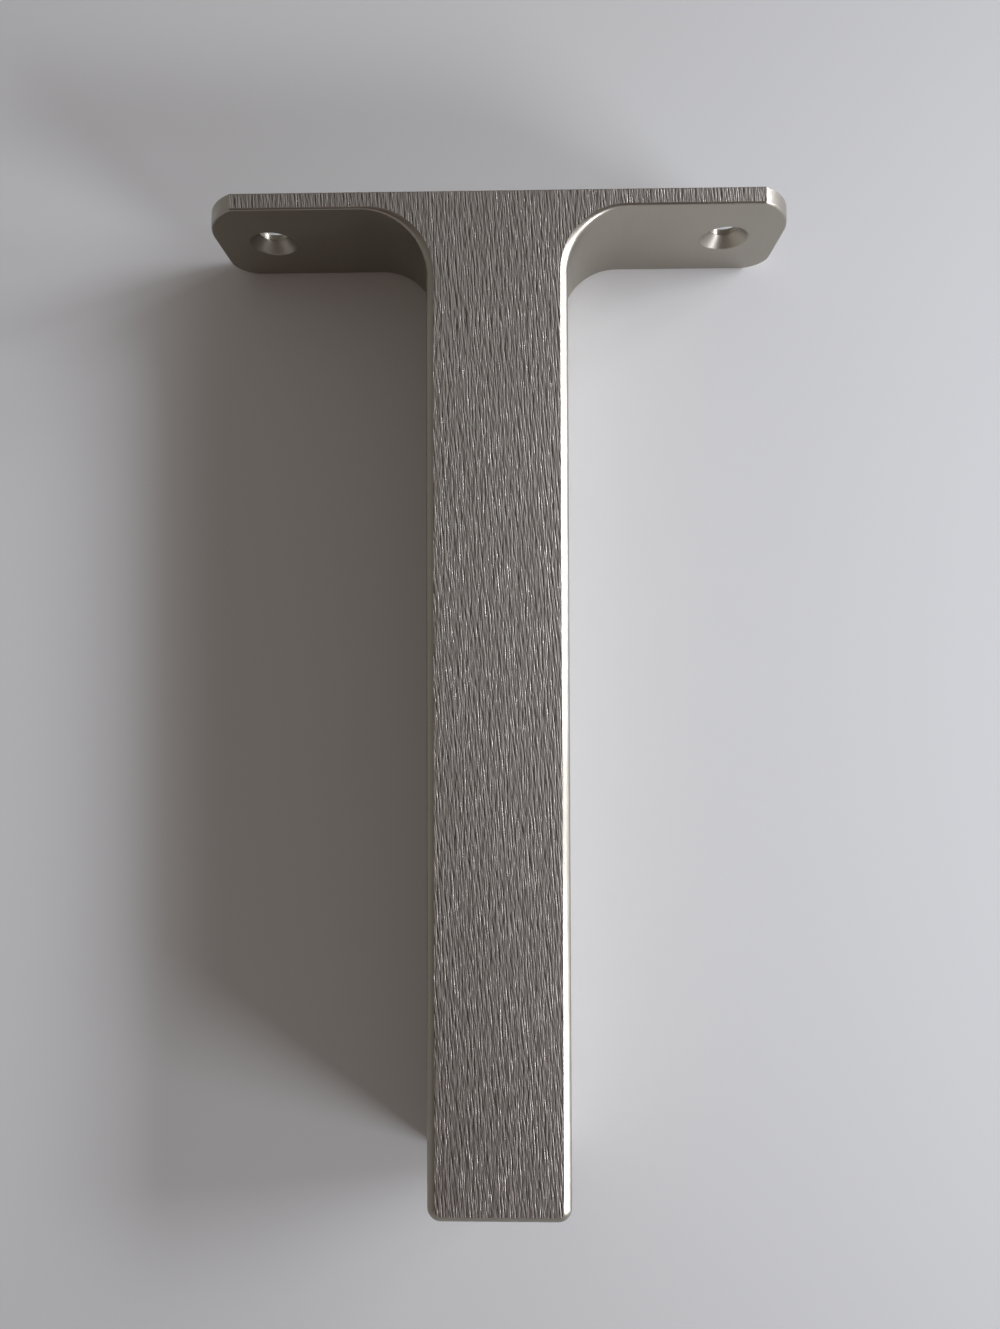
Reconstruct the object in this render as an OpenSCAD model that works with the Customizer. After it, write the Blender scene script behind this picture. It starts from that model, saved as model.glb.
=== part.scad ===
// Shelf bracket: a solid metal T. A square arm carries the shelf and a thin flange screws to
// the wall. The wall face is the plane y = 0, the arm reaches towards -Y with the shelf face on
// top, and the origin is the middle of the wall face.

/* [Arm] */
// Width of the arm, side to side
arm_w = 25; // [18:0.5:36]
// Height of the arm and of the flange, underside to shelf face
arm_h = 25; // [20:0.5:40]
// Distance from the wall face to the free end of the arm
reach = 179; // [100:1:260]
// Radius that breaks the edges of the arm, above and below
edge_r = 1.2; // [0.4:0.1:1.6]
// Radius of the free end's two upright corners
tip_r = 1.8; // [1.8:0.1:6]

/* [Wall flange] */
// Length of the flange along the wall
flange_w = 106; // [96:1:160]
// Thickness of the flange, out from the wall
flange_t = 3; // [2.4:0.1:6]
// Corner radius of the flange, seen from the room
flange_corner_r = 7; // [2:0.5:9.5]

/* [Root] */
// Radius of the two hollow fillets between the arm and the flange
fillet_r = 11.5; // [7:0.5:14]
// How far the broken edge drifts off the fillet by the time it reaches the flange
edge_fade = 0.8; // [0.2:0.1:3]

/* [Screw holes] */
// Distance from each end of the flange to the centre of its screw hole
hole_inset = 10.5; // [8:0.5:14]
// Diameter of the bore for the screw's shank
bore_d = 5; // [3.5:0.1:6]
// Diameter of the countersink at the face of the flange
sink_d = 8.8; // [7:0.1:10]
// Full angle of the countersink
sink_angle = 90; // [82:1:100]

/* [Hidden] */
$fn = 96;
metal = "#8f8a82";
// How far a cutter runs on past the solid that it cuts
over = 1;
hole_x = flange_w / 2 - hole_inset;
// How fast the countersink widens: radius gained for each millimetre of depth
sink_slope = tan(sink_angle / 2);
sink_depth = (sink_d - bore_d) / 2 / sink_slope;
// The fillet starts here on the arm's side, and its centre lies on the same line
fillet_y = -flange_t - fillet_r;
// The broken edge turns on this smaller radius, so it leaves the fillet little by little
fade_r = fillet_r - edge_fade;
// The upright corners of the free end turn about these points
tip_x = arm_w / 2 - tip_r;
tip_y = -reach + tip_r;

// The T seen from above: flange, arm with two round corners, and the root with its fillets
module t_outline() {
    translate([-flange_w / 2, -flange_t]) square([flange_w, flange_t]);
    translate([-arm_w / 2, tip_y]) square([arm_w, -tip_y]);
    translate([-tip_x, -reach]) square([2 * tip_x, tip_r]);
    for (side = [-1, 1]) translate([side * tip_x, tip_y]) circle(tip_r);
    difference() {
        translate([-arm_w / 2 - fillet_r, fillet_y]) square([arm_w + 2 * fillet_r, -fillet_y]);
        for (side = [-1, 1]) translate([side * (arm_w / 2 + fillet_r), fillet_y]) circle(fillet_r);
    }
}

// The T seen from the room: only the flange is wide enough to meet the four round corners
module front_outline() {
    straight_w = flange_w - 2 * flange_corner_r;
    straight_h = arm_h - 2 * flange_corner_r;
    square([flange_w, straight_h], center = true);
    square([straight_w, arm_h], center = true);
    for (x = [-1, 1], y = [-1, 1]) translate([x * straight_w / 2, y * straight_h / 2])
        circle(flange_corner_r);
}

// What is taken off a sharp edge to leave it round. The edge is the origin, the solid lies
// towards -X and -Y, and the piece taken runs past it on both outer sides.
module edge_waste() {
    difference() {
        translate([-edge_r, -edge_r]) square(edge_r + over);
        translate([-edge_r, -edge_r]) circle(edge_r);
    }
}

// Waste along one upper side of the arm: round the free end's corner, up the side, and on along
// the fillet in a half turn, which leaves the solid where the flange begins
module side_waste() {
    translate([tip_x, tip_y]) rotate([0, 0, -90]) rotate_extrude(angle = 90)
        translate([tip_r, 0]) edge_waste();
    translate([arm_w / 2, fillet_y]) rotate([90, 0, 0]) linear_extrude(fillet_y - tip_y) edge_waste();
    translate([arm_w / 2 + fade_r, fillet_y]) rotate_extrude(angle = 180)
        translate([fade_r, 0]) mirror([1, 0]) edge_waste();
}

// Waste along the whole upper edge of the arm: across the free end and up both sides
module upper_waste() {
    translate([0, 0, arm_h / 2]) {
        translate([tip_x, -reach]) rotate([90, 0, -90]) linear_extrude(2 * tip_x) edge_waste();
        for (side = [0, 1]) mirror([side, 0, 0]) side_waste();
    }
}

// One countersunk screw hole, bored along Y through the flange from the wall face. The cone runs
// on past the front of the flange, so it is sink_d wide where it leaves the metal.
module screw_hole() {
    rotate([90, 0, 0]) {
        translate([0, 0, -over]) cylinder(d = bore_d, h = flange_t + 2 * over);
        translate([0, 0, flange_t - sink_depth])
            cylinder(d1 = bore_d, d2 = sink_d + 2 * over * sink_slope, h = sink_depth + over);
    }
}

module bracket() {
    color(metal) difference() {
        intersection() {
            translate([0, 0, -arm_h / 2]) linear_extrude(arm_h) t_outline();
            translate([0, over, 0]) rotate([90, 0, 0]) linear_extrude(reach + 2 * over) front_outline();
        }
        for (face = [0, 1]) mirror([0, 0, face]) upper_waste();
        for (side = [-1, 1]) translate([side * hole_x, 0, 0]) screw_hole();
    }
}

bracket();
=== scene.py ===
# %% [markdown]
# # A shelf bracket in belt-brushed, nickel-plated metal
# The real bracket is one casting: a square arm that a shelf rests on, and a thin flange that two
# screws hold to the wall. Its two broad T-shaped faces are ground on a coarse belt, and all the
# rest is smooth under the same satin nickel plate.
#
# A frame of exact sizes is loaded first. Everything below is built in that frame, in metres, with
# the wall face at y = 0, the arm reaching towards -Y and the shelf face on top.

# %% Load the frame
import math

import bmesh
import bpy
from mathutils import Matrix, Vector


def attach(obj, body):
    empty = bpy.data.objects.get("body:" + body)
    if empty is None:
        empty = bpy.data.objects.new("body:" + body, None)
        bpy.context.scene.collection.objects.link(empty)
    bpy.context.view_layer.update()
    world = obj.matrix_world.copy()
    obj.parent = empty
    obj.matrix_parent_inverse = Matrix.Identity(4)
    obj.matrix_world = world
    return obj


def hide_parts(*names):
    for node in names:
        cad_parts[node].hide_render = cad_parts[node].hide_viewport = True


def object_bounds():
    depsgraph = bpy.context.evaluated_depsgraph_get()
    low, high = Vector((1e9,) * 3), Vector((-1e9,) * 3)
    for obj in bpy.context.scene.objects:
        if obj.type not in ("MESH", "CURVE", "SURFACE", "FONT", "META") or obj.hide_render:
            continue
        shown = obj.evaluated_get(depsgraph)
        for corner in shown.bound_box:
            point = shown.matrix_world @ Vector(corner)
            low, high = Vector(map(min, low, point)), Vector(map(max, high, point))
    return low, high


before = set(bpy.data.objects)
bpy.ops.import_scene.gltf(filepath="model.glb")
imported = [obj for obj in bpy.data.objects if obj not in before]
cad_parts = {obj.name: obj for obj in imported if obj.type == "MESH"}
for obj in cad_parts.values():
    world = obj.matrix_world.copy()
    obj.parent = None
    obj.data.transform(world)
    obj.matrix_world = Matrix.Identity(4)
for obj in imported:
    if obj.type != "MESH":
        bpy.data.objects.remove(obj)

MM = 0.001
low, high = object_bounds()
print("frame box, mm:", [round(side / MM, 2) for side in high - low])

# %% [markdown]
# ## The camera
# A product picture is defined by three things: where the camera stands, how it is tilted, and how
# long its lens is. This one stands about 16 cm above the shelf face and looks almost straight
# down. A short distance and a wide lens open up the ears' front faces, which a flat drawing would
# hide.

# %% Camera
CAMERA_AT = Vector((3.46, -86.70, 170.55)) * MM
CAMERA_TILT = [math.radians(turn) for turn in (1.295, 1.117, -0.170)]
SENSOR_WIDTH = 36
FOCAL_LENGTH = 32.90
NEAREST_SEEN = 10 * MM


def place(obj):
    """Puts a new object in the scene and hands it back."""
    bpy.context.scene.collection.objects.link(obj)
    return obj


camera = place(bpy.data.objects.new("camera", bpy.data.cameras.new("camera")))
camera.location = CAMERA_AT
camera.rotation_euler = CAMERA_TILT
camera.data.sensor_fit = "HORIZONTAL"
camera.data.sensor_width = SENSOR_WIDTH
camera.data.lens = FOCAL_LENGTH
camera.data.clip_start = NEAREST_SEEN
bpy.context.scene.camera = camera
print("camera above the shelf face, mm:", round((camera.location.z - high.z) / MM, 1))

# %% [markdown]
# ## The sizes
# The frame's box gives the reach, the flange's length and the height. The smaller sizes are the
# ones that a drawing of the bracket would carry.
#
# The last ones belong to the finish. The casting was rounded first and its two broad faces were
# ground flat afterwards, so the belt cut the top off every rounding: each one leaves the broad
# face at a slope and not smoothly. The slope faces a lamp at once, which is why the edge shows as
# one bright, sharply bounded line. The flange's rim and the screw holes are only broken by a few
# tenths of a millimetre, as polishing and plating always do.

# %% Sizes, in millimetres
HALF_ARM = 12.5
HALF_H = high.z / MM
HALF_FLANGE = high.x / MM
REACH = -low.y / MM
FLANGE_T = 3
FILLET_R = 11.5
TIP_R = 2.4
HOLE_INSET = 10.5
HOLE_X = HALF_FLANGE - HOLE_INSET
BORE_R = 2.5
SINK_R = 4.4
BAND = 1.4
BAND_SLOPE = math.radians(25)
TIGHT_FROM = math.radians(48)
TIGHT = 0.3
UPPER_CORNER_R = 11.8
UPPER_CORNER_SLOPE = math.radians(30)
LOWER_CORNER_R = 5
RIM = 0.4
BACK_RIM = 0.2
LIP_R = 0.5
print("reach, half flange, half height:", [round(size, 1) for size in (REACH, HALF_FLANGE, HALF_H)])

# %% [markdown]
# ## Lines with turned corners
# Every line on the bracket is straight pieces joined by arcs: the T in plan, the end of the
# flange, the bore of a screw hole. A drawing gives such a line as corners and radii. One function
# turns that into points, and another finds which way the metal lies from each point.

# %% Paths


def path(corners, steps):
    """Points along straight lines through (x, y, radius) corners, each turned on an arc."""
    points = [Vector(corners[0][:2])]
    for before, here, after in zip(corners, corners[1:], corners[2:]):
        corner, radius = Vector(here[:2]), here[2]
        back = (Vector(before[:2]) - corner).normalized()
        on = (Vector(after[:2]) - corner).normalized()
        half = back.angle(on) / 2
        centre = corner + (back + on).normalized() * radius / math.sin(half)
        start = (corner + back * radius / math.tan(half) - centre).normalized()
        end = (corner + on * radius / math.tan(half) - centre).normalized()
        points += [centre + radius * start.slerp(end, i / steps) for i in range(steps + 1)]
    return points + [Vector(corners[-1][:2])]


def inward(points):
    """The direction in which the metal lies at each point: to the left of the way along."""
    ways = [b - a for a, b in zip([points[0], *points], [*points[1:], points[-1]])]
    return [Vector((-way.y, way.x)).normalized() for way in ways]


def arc(centre, radius, start, end, steps):
    """Points on an arc, from one slope to another. Slope 0 faces up, and 90 degrees sideways."""
    slopes = [start + (end - start) * i / steps for i in range(steps + 1)]
    return [Vector(centre) + radius * Vector((math.sin(t), math.cos(t))) for t in slopes]


QUARTER_TURN = math.pi / 2
END_STEPS = 24
PLAN_STEPS = 32

upper_drop = UPPER_CORNER_R * math.cos(UPPER_CORNER_SLOPE)
upper_end = arc((HALF_FLANGE - UPPER_CORNER_R, HALF_H - upper_drop), UPPER_CORNER_R,
                UPPER_CORNER_SLOPE, QUARTER_TURN, END_STEPS)
lower_end = arc((HALF_FLANGE - LOWER_CORNER_R, HALF_H - LOWER_CORNER_R), LOWER_CORNER_R, 0,
                QUARTER_TURN, END_STEPS)
plan = path([(0, -REACH), (HALF_ARM, -REACH, TIP_R), (HALF_ARM, -FLANGE_T, FILLET_R),
             (HALF_FLANGE, -FLANGE_T)], PLAN_STEPS)[:-1]
print("points along a quarter of the plan:", len(plan))
print("flange's upper corner starts at, mm:", round(upper_end[0].x, 1))

# %% [markdown]
# ## Rounding the real edges
# The bracket has only two kinds of real edge: the outline of the T, and the outline of the
# flange's back. Each is a line with a face beside it on either hand. Where both ways off the line
# are known, the edge can be rounded by any amount, point by point. A Bevel modifier could do most
# of this, but here the rounding starts at a slope and has to shrink along the fillets, as it does
# where a polishing wheel can't reach into the root.

# %% Rounded edges
ROUND_STEPS = 10
DOWN = Vector((0, 0, -1))
IN = Vector((0, 1, 0))

shell = bmesh.new()


def strip(first, second):
    """Faces between two rows of vertices."""
    for a, b, c, d in zip(first, first[1:], second[1:], second):
        shell.faces.new((a, b, c, d))


def rounding(where, over, down, width, share):
    """Points round an edge, with `width` taken off one face.

    With a share of 0 it is a plain quarter round. With 1 it starts at the band's slope, runs on
    almost flat, and turns the rest of the way in a tight radius.
    """
    slopes = [QUARTER_TURN - (QUARTER_TURN - share * BAND_SLOPE) * i / ROUND_STEPS
              for i in range(ROUND_STEPS, -1, -1)]
    bends = [1 - share * (1 - TIGHT) * (t > TIGHT_FROM) for t in slopes[1:]]
    across = [r * (math.sin(b) - math.sin(a)) for r, a, b in zip(bends, slopes, slopes[1:])]
    deep = [r * (math.cos(a) - math.cos(b)) for r, a, b in zip(bends, slopes, slopes[1:])]
    scale = width / sum(across)
    return [where + scale * (sum(across[i:]) * over + sum(deep[:i]) * down)
            for i in range(ROUND_STEPS + 1)]


def arm_edge(place, way_in):
    """The rounding at a point of the plan. It shrinks along the fillet, towards the wall."""
    share = 1 if place.y < -FLANGE_T - FILLET_R else max(0, -way_in.x)
    width = RIM + (BAND - RIM) * share
    return rounding(Vector((*place, HALF_H)), way_in.to_3d(), DOWN, width, share)


arm_edges = [arm_edge(place, way_in) for place, way_in in zip(plan, inward(plan))]
print("points round the arm's edge:", len(arm_edges) * len(arm_edges[0]))

# %% [markdown]
# ## The screw hole
# A countersink is turned, so the hole is a profile spun about the screw's axis: the lip, the cone
# and the bore. The cone widens by as much as it is deep, for a screw head of 90 degrees. The
# profile's first corner only gives the lip its direction, and is left out of the rings. The axis
# lies at half height, so half a turn is enough for each quarter.

# %% The countersunk hole
TURN_STEPS = 48
PROFILE_STEPS = 6

profile = path([(SINK_R + LIP_R, -FLANGE_T), (SINK_R, -FLANGE_T, LIP_R),
                (BORE_R, -FLANGE_T + SINK_R - BORE_R, LIP_R / 2), (BORE_R, 0)], PROFILE_STEPS)[1:]


def half_turn(radius, y):
    """Half a circle round the screw's axis, from its outer side to its inner."""
    turns = [math.pi * i / TURN_STEPS for i in range(TURN_STEPS + 1)]
    return [Vector((HOLE_X + radius * math.cos(t), y, radius * math.sin(t))) for t in turns]


hole = [half_turn(place.x, place.y) for place in profile]
print("hole rings:", len(hole))

# %% [markdown]
# ## A quarter at a time
# Left and right are alike, and above and below differ only in the corners of the flange. So the
# same few steps draw an upper and a lower quarter: the rounded edges, the straight walls below
# them, the hole, and three flat faces. Each flat one is a single many-sided face, which Blender
# cuts into triangles by itself as long as its outline never touches itself.

# %% Two quarters


def quarter(end, up):
    """Adds one quarter of the casting. `end` is the flange's end, and `up` is 1 above, -1 below."""

    def row(places):
        return [shell.verts.new((x * MM, y * MM, up * z * MM)) for x, y, z in places]

    end = end + [Vector((HALF_FLANGE, 0))]
    ways_in = [Vector((-way.x, 0, -way.y)) for way in inward(end)]
    front = [row(places) for places in arm_edges]
    front += [row(rounding(Vector((p.x, -FLANGE_T, p.y)), IN, way, RIM, 0))
              for p, way in zip(end, ways_in)]
    back = [row(rounding(Vector((0, 0, HALF_H)), -IN, DOWN, BACK_RIM, 0))]
    back += [row(rounding(Vector((p.x, 0, p.y)), -IN, way, BACK_RIM, 0))
             for p, way in zip(end, ways_in)]
    for columns in (front, back):
        for column, after in zip(columns, columns[1:]):
            strip(column, after)

    corner = len(arm_edges)
    foot = row((x, y, 0) for x, y in plan)
    strip([column[-1] for column in front[:corner]], foot)
    strip([column[0] for column in front[corner:]], [column[0] for column in back[1:]])
    rings = [row(ring) for ring in hole]
    for ring, after in zip(rings, rings[1:]):
        strip(ring, after)

    broad = [column[0] for column in front[:corner + 1]] + [back[1][0], back[0][0]]
    ear = [column[-1] for column in front[corner - 1:]] + rings[0] + [foot[-1]]
    wall = [column[-1] for column in back] + rings[-1] + row([(0, 0, 0)])
    for outline in (broad, ear, wall):
        shell.faces.new(outline)


quarter(upper_end, 1)
quarter(lower_end, -1)
print("faces in two quarters:", len(shell.faces))

# %% [markdown]
# ## The whole casting
# The two quarters are welded along half height, and the Mirror modifier makes the other side.
# Weighted normals then let each flat face keep its own direction, so that all the bending of
# light happens in the rounded edges, as it does on metal.

# %% Weld, mirror and smooth
SEAM = 0.001 * MM
REAL_EDGE = math.radians(18)

bmesh.ops.remove_doubles(shell, verts=shell.verts, dist=SEAM)
mesh = bpy.data.meshes.new("casting")
shell.to_mesh(mesh)
shell.free()
casting = place(bpy.data.objects.new("casting", mesh))


def settle(obj):
    """Replaces an object's mesh with what its modifiers make of it."""
    graph = bpy.context.evaluated_depsgraph_get()
    shaped = bpy.data.meshes.new_from_object(obj.evaluated_get(graph))
    obj.modifiers.clear()
    obj.data = shaped


mirror = casting.modifiers.new("other side", "MIRROR")
mirror.merge_threshold = SEAM
settle(casting)

whole = bmesh.new()
whole.from_mesh(casting.data)
bmesh.ops.recalc_face_normals(whole, faces=whole.faces)
open_edges = sum(not edge.is_manifold for edge in whole.edges)
print("open edges:", open_edges, "volume, mm3:", round(whole.calc_volume() / MM ** 3))
whole.to_mesh(casting.data)
whole.free()

casting.data.shade_smooth()
casting.data.set_sharp_from_angle(angle=REAL_EDGE)
even = casting.modifiers.new("even normals", "WEIGHTED_NORMAL")
even.keep_sharp = True
settle(casting)
casting.name = "bracket_casting"
print("casting faces:", len(casting.data.polygons), "points:", len(casting.data.vertices))

# %% [markdown]
# ## Colours and nodes
# Both finishes below are node materials. Their colours are written as the hex values that a
# picture shows, so one function turns such a value into the linear light that Blender works
# with. A second adds a node with its settings and its links, and a third starts a material.

# %% Colours and nodes


def linear(hex_colour):
    """An sRGB hex colour as linear red, green, blue and alpha."""
    shares = [int(hex_colour[i:i + 2], 16) / 255 for i in (1, 3, 5)]
    return [s / 12.92 if s <= 0.04045 else ((s + 0.055) / 1.055) ** 2.4 for s in shares] + [1]


def node(tree, kind, inputs=None, **settings):
    """Adds a node with its settings. An input is a value, or another node's output to link."""
    made = tree.nodes.new(kind)
    for name, value in settings.items():
        setattr(made, name, value)
    for socket, value in (inputs or {}).items():
        if isinstance(value, bpy.types.NodeSocket):
            tree.links.new(value, made.inputs[socket])
        else:
            made.inputs[socket].default_value = value
    return made


def blank_material(name):
    """A new material and its empty node tree."""
    made = bpy.data.materials.new(name)
    made.use_nodes = True
    made.node_tree.nodes.clear()
    return made, made.node_tree


NICKEL = "#A19B90"
print("nickel plate in linear light:", [round(share, 2) for share in linear(NICKEL)])

# %% [markdown]
# ## Satin nickel plate
# Nickel is a warm grey metal. Here it is plated over a casting that was smoothed on a fine wheel,
# so it is satin and not a mirror: a lamp turns into a soft glow, and the floor shows in it
# without a sharp line. The wheel ran up and down the sides and round into the fillets, and it
# left faint upright marks. The eye hardly sees them as marks, but they streak the glow.
#
# The metal could be one roughness all over, but then it looks like plastic film. Three patterns
# are laid over each other instead: slow clouds about 12 mm across where the wheel pressed harder,
# the wheel's upright marks, and the plate's own grain. The clouds shift the colour a little too,
# as the plate is never quite equally thick. Real plating grain is a few hundredths of a
# millimetre, too fine to show, so it is drawn at 0.25 mm.

# %% Satin nickel plate
CLOUD = 12 * MM
WHEEL_MARK = Vector((0.5, 0.5, 14)) * MM
GRAIN = 0.25 * MM
WHEEL_DEPTH = 0.006 * MM
GRAIN_DEPTH = 0.0012 * MM
POLISH_RANGE = (0.7, 1.3)
SATIN_ROUGHNESS = (0.3, 0.4)
SATIN_TONES = (NICKEL, "#AFA99E")

satin, tree = blank_material("satin_nickel_plate")
where = node(tree, "ShaderNodeTexCoord").outputs["Object"]
cloud = node(tree, "ShaderNodeTexNoise", {"Vector": where, "Scale": 1 / CLOUD, "Detail": 2})
along_wheel = node(tree, "ShaderNodeMapping", {"Vector": where, "Scale": WHEEL_MARK},
                   vector_type="TEXTURE")
wheel = node(tree, "ShaderNodeTexNoise", {"Vector": along_wheel.outputs["Vector"], "Scale": 1,
                                          "Detail": 2})
grain = node(tree, "ShaderNodeTexNoise", {"Vector": where, "Scale": 1 / GRAIN, "Detail": 1})
tone = node(tree, "ShaderNodeMixRGB", {"Fac": cloud.outputs["Fac"],
                                       "Color1": linear(SATIN_TONES[0]),
                                       "Color2": linear(SATIN_TONES[1])})
polish = node(tree, "ShaderNodeMath", {0: cloud.outputs["Fac"], 1: wheel.outputs["Fac"]},
              operation="ADD")
rough = node(tree, "ShaderNodeMapRange", {
    "Value": polish.outputs["Value"], "From Min": POLISH_RANGE[0], "From Max": POLISH_RANGE[1],
    "To Min": SATIN_ROUGHNESS[0], "To Max": SATIN_ROUGHNESS[1]})
marks = node(tree, "ShaderNodeBump", {"Height": wheel.outputs["Fac"], "Strength": 1,
                                      "Distance": WHEEL_DEPTH})
skin = node(tree, "ShaderNodeBump", {"Height": grain.outputs["Fac"], "Strength": 1,
                                     "Distance": GRAIN_DEPTH, "Normal": marks.outputs["Normal"]})
shader = node(tree, "ShaderNodeBsdfPrincipled", {
    "Base Color": tone.outputs["Color"], "Metallic": 1, "Roughness": rough.outputs["Result"],
    "Normal": skin.outputs["Normal"]})
node(tree, "ShaderNodeOutputMaterial", {"Surface": shader.outputs["BSDF"]})
print("satin plate nodes:", len(tree.nodes))

# %% [markdown]
# ## Belt-brushed nickel plate
# The two broad faces were ground on a coarse belt before plating. Each grit cuts a groove a few
# millimetres long and 0.2 to 0.3 mm wide, and lifts out again. The grooves lie along the arm, all
# leaning a few degrees because the casting was held a little askew. Their two banks face opposite
# sides, so a lamp at one side lights one bank of each groove and leaves the other dark: that is
# the glitter that tells the eye "brushed".
#
# An anisotropic shader blurs light in one direction, which suits strokes too fine to see. These
# strokes can be counted, so they are real grooves in the bump instead. Noise stretched along the
# arm gives them. A grit also throws up a ridge beside its groove, so the same noise is moved one
# step across and taken away from the first: every dark line then has a light one beside it, and
# no broad patches are left. One layer makes the long grooves and another the short fine ones.
# Mixed evenly, the two seldom pass 0.15 either way, so that counts as the top of a ridge and the
# bottom of a groove. The same height sets tone and gloss too: the ridges are glossier, and the
# tone is painted light, a painted glint on each ridge and painted shade in each groove, standing
# in for the lamps' glitter on the groove banks.

# %% Belt-brushed nickel plate
LEAN = math.radians(4)
LONG_GROOVE = Vector((0.27, 5, 6)) * MM
SHORT_GROOVE = Vector((0.2, 2.5, 6)) * MM
GROOVE_DEPTH = 0.04 * MM
EVENLY = 0.5
PEAK = 0.15
BRUSHED_ROUGHNESS = (0.56, 0.46)
# Painted light: the dark tone is painted shade in the grooves, the light one a painted glint on the
# ridges.
PAINTED_SHADE_AND_GLINT_TONES = ("#60584F", "#E6E1DA")

brushed, tree = blank_material("belt_brushed_nickel_plate")
where = node(tree, "ShaderNodeTexCoord").outputs["Object"]


def grooves(size):
    """Grooves with a ridge beside each: a height about 0. `size` is across, along and down."""
    pair = []
    for across in (0, size.x):
        along_belt = node(tree, "ShaderNodeMapping", {
            "Vector": where, "Location": (across, 0, 0), "Rotation": (0, 0, LEAN), "Scale": size},
            vector_type="TEXTURE")
        pair.append(node(tree, "ShaderNodeTexNoise", {"Vector": along_belt.outputs["Vector"],
                                                      "Scale": 1, "Detail": 1}).outputs["Fac"])
    return node(tree, "ShaderNodeMath", {0: pair[0], 1: pair[1]},
                operation="SUBTRACT").outputs["Value"]


both = node(tree, "ShaderNodeMix", {"Factor": EVENLY, "A": grooves(LONG_GROOVE),
                                    "B": grooves(SHORT_GROOVE)}, data_type="FLOAT")
height = node(tree, "ShaderNodeMapRange", {"Value": both.outputs["Result"], "From Min": -PEAK,
                                           "From Max": PEAK})
bump = node(tree, "ShaderNodeBump", {"Height": height.outputs["Result"], "Strength": 1,
                                     "Distance": GROOVE_DEPTH})
# This ramp paints a glint on each ridge and shade in each groove.
tone = node(tree, "ShaderNodeValToRGB", {"Fac": height.outputs["Result"]})
for stop, colour in zip(tone.color_ramp.elements, PAINTED_SHADE_AND_GLINT_TONES):
    stop.color = linear(colour)
rough = node(tree, "ShaderNodeMapRange", {
    "Value": height.outputs["Result"], "To Min": BRUSHED_ROUGHNESS[0],
    "To Max": BRUSHED_ROUGHNESS[1]})
shader = node(tree, "ShaderNodeBsdfPrincipled", {
    "Base Color": tone.outputs["Color"], "Metallic": 1, "Roughness": rough.outputs["Result"],
    "Normal": bump.outputs["Normal"]})
node(tree, "ShaderNodeOutputMaterial", {"Surface": shader.outputs["BSDF"]})
print("brushed plate nodes:", len(tree.nodes))

# %% [markdown]
# ## Which face has which finish
# The belt touched only the two broad flat faces. Everything that turns away from them, from the
# start of the rounded edge on, kept the satin plate.

# %% Finishes on faces
SATIN, BRUSHED = range(2)

casting.data.materials.append(satin)
casting.data.materials.append(brushed)
for face in casting.data.polygons:
    face.material_index = BRUSHED if abs(face.center.z) > high.z - SEAM else SATIN
print("brushed faces:", sum(face.material_index == BRUSHED for face in casting.data.polygons))

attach(casting, "root")
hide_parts("bracket")

# %% [markdown]
# ## The floor
# The bracket lies on a sheet of pale, matt laminate. Paper pressed in clear resin is smooth, so
# the sheet has no grain to show at this distance. Its gloss is low: with more, the low lamps
# would glare on it.

# %% Floor
FLOOR_SIDE = 2.4
LAMINATE = "#E8E8E7"
LAMINATE_ROUGHNESS = 0.7
LAMINATE_GLOSS = 0.2

half = FLOOR_SIDE / 2
floor_mesh = bpy.data.meshes.new("floor")
floor_mesh.from_pydata([(-half, -half, low.z), (half, -half, low.z), (half, half, low.z),
                        (-half, half, low.z)], [], [(0, 1, 2, 3)])
floor = place(bpy.data.objects.new("floor", floor_mesh))
laminate, tree = blank_material("pale_matt_laminate")
shader = node(tree, "ShaderNodeBsdfPrincipled", {
    "Base Color": linear(LAMINATE), "Roughness": LAMINATE_ROUGHNESS,
    "Specular IOR Level": LAMINATE_GLOSS})
node(tree, "ShaderNodeOutputMaterial", {"Surface": shader.outputs["BSDF"]})
floor_mesh.materials.append(laminate)
print("floor side, m:", FLOOR_SIDE)

# %% [markdown]
# ## The light
# Metal shows what stands round it, so the room matters as much as the lamps. The walls of this
# room are pale and the ceiling is dim, so that the broad face, which mirrors the ceiling, stays a
# calm grey. The ceiling is darkest and warmest in front of the bracket and lightest right above
# it, and that shows as a slow change of tone along the arm. The wall on the left, away from the
# lamps, is dimmer than the one on the right, so the rounded edge on that side stays quiet.
#
# The direction of view gives all three changes: Z runs from wall to ceiling, Y from front to
# back, and X from left to right.

# %% The room
WALL_TOP, CEILING_FROM = 0.18, 0.48
FRONT_TO_BACK = 0.8
CEILING = ((0.22, "#4E3B35"), (0.5, "#827E7A"), (0.8, "#726E6A"))
LEFT_WALL, RIGHT_WALL = "#9E9C99", "#CBCDCF"

world = bpy.data.worlds.new("room")
bpy.context.scene.world = world
world.use_nodes = True
tree = world.node_tree
tree.nodes.clear()
way = node(tree, "ShaderNodeSeparateXYZ",
           {"Vector": node(tree, "ShaderNodeTexCoord").outputs["Generated"]})
back = node(tree, "ShaderNodeMapRange", {"Value": way.outputs["Y"], "From Min": -FRONT_TO_BACK,
                                         "From Max": FRONT_TO_BACK})
ceiling = node(tree, "ShaderNodeValToRGB", {"Fac": back.outputs["Result"]})
stops = ceiling.color_ramp.elements
stops.new(CEILING[1][0])
for stop, (position, colour) in zip(stops, CEILING):
    stop.position, stop.color = position, linear(colour)
rise = node(tree, "ShaderNodeMapRange", {"Value": way.outputs["Z"], "From Min": WALL_TOP,
                                         "From Max": CEILING_FROM},
            interpolation_type="SMOOTHSTEP")
across = node(tree, "ShaderNodeMapRange", {"Value": way.outputs["X"], "From Min": -1})
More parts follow.
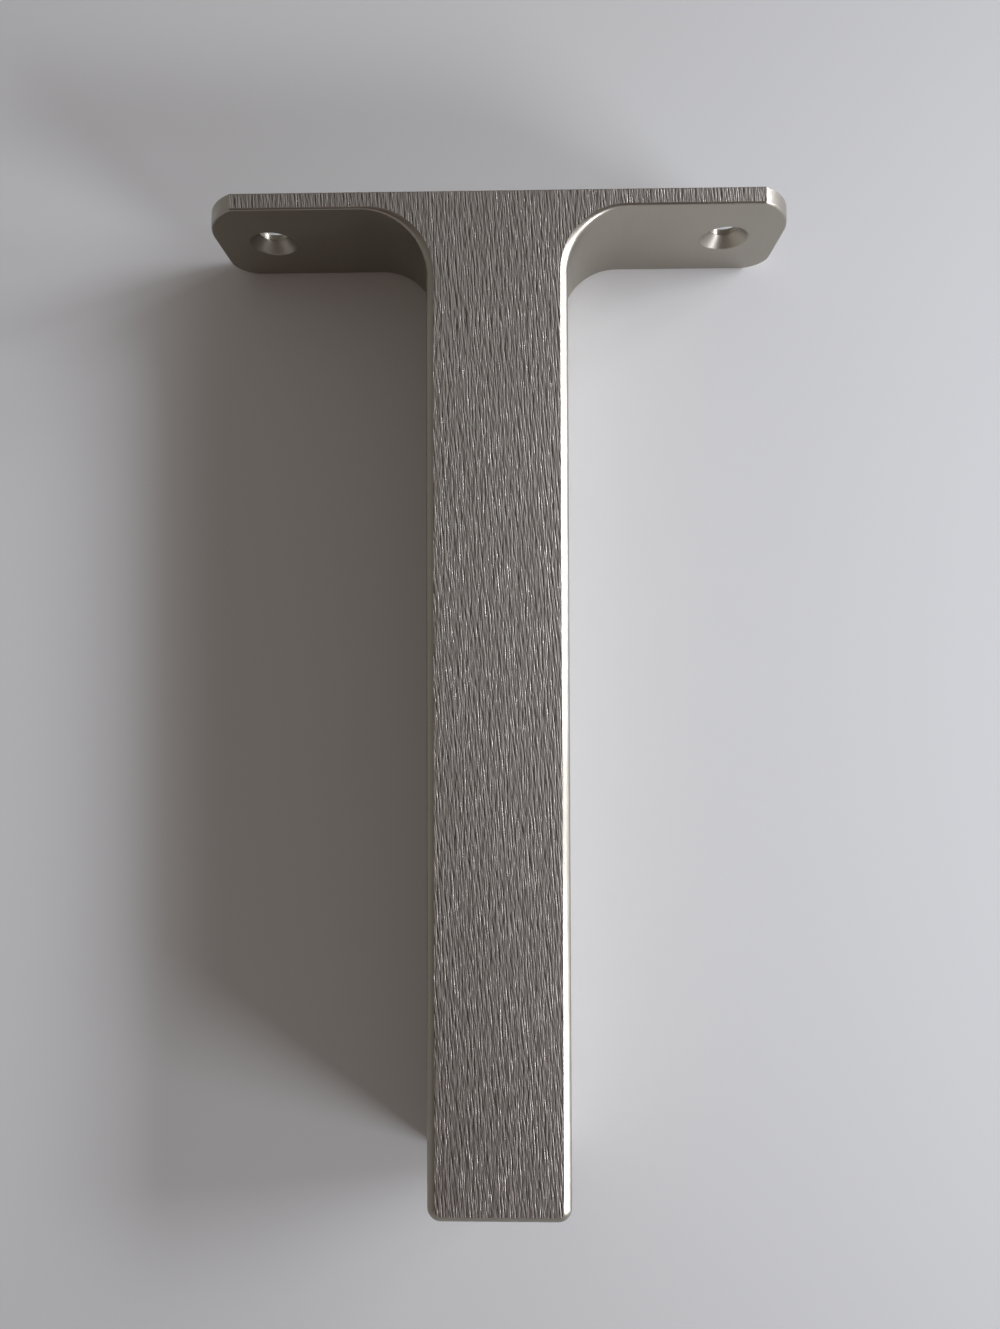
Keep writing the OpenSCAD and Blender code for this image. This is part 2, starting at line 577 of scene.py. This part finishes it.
walls = node(tree, "ShaderNodeMixRGB", {"Fac": across.outputs["Result"],
                                        "Color1": linear(LEFT_WALL),
                                        "Color2": linear(RIGHT_WALL)})
room = node(tree, "ShaderNodeMixRGB", {"Fac": rise.outputs["Result"],
                                       "Color1": walls.outputs["Color"],
                                       "Color2": ceiling.outputs["Color"]})
sky = node(tree, "ShaderNodeBackground", {"Color": room.outputs["Color"]})
node(tree, "ShaderNodeOutputWorld", {"Surface": sky.outputs["Background"]})
print("room nodes:", len(tree.nodes))

# %% [markdown]
# Three soft lamps stand low on the right, like a row of windows: a large one level with the arm,
# one nearly as strong in front of it and a weak one behind. Low light is what brings out a
# brushed face: it rakes across the grooves. It also draws a long shadow on the left, and it
# turns the rounded edge that faces it into one white line.
#
# A lamp that stands so low would burn out the floor in front of it. Each one has a grid of thin
# slats over its face, as studio lamps do, and that keeps the beam narrow. A narrow beam gathers a
# lamp's power, so the power is cut down to leave the lamp just as bright along its axis.

# %% The lamps
AIM = Vector((0, -75, 0)) * MM
LAMP_DISTANCE = 0.8
BEAM = math.radians(65)
GATHERED = 1 - BEAM / 2 / math.tan(BEAM / 2)
DAYLIGHT = "#F1F5FF"


def softbox(name, azimuth, elevation, width, height, radiance):
    """A soft rectangular lamp aimed at the bracket. Azimuth is counted from +X towards +Y."""
    lamp = bpy.data.lights.new(name, "AREA")
    lamp.shape = "RECTANGLE"
    lamp.size, lamp.size_y = width, height
    lamp.spread = BEAM
    lamp.energy = radiance * math.pi * width * height * GATHERED
    lamp.color = linear(DAYLIGHT)[:3]
    box = place(bpy.data.objects.new(name, lamp))
    turn, rise = math.radians(azimuth), math.radians(elevation)
    way = Vector((math.cos(turn) * math.cos(rise), math.sin(turn) * math.cos(rise), math.sin(rise)))
    box.location = AIM + way * LAMP_DISTANCE
    box.rotation_euler = way.to_track_quat("Z", "Y").to_euler()
    print(name, "at", [round(side, 2) for side in box.location], "power", round(lamp.energy, 2))


softbox("window", azimuth=11, elevation=20.5, width=0.34, height=0.11, radiance=51)
softbox("front_window", azimuth=-32, elevation=20.5, width=0.30, height=0.11, radiance=42)
softbox("back_window", azimuth=32, elevation=17, width=0.14, height=0.10, radiance=26)

# %% [markdown]
# ## Finish
# The plain Standard view keeps every colour as it is written.

# %% Finish
bpy.context.scene.view_settings.view_transform = "Standard"
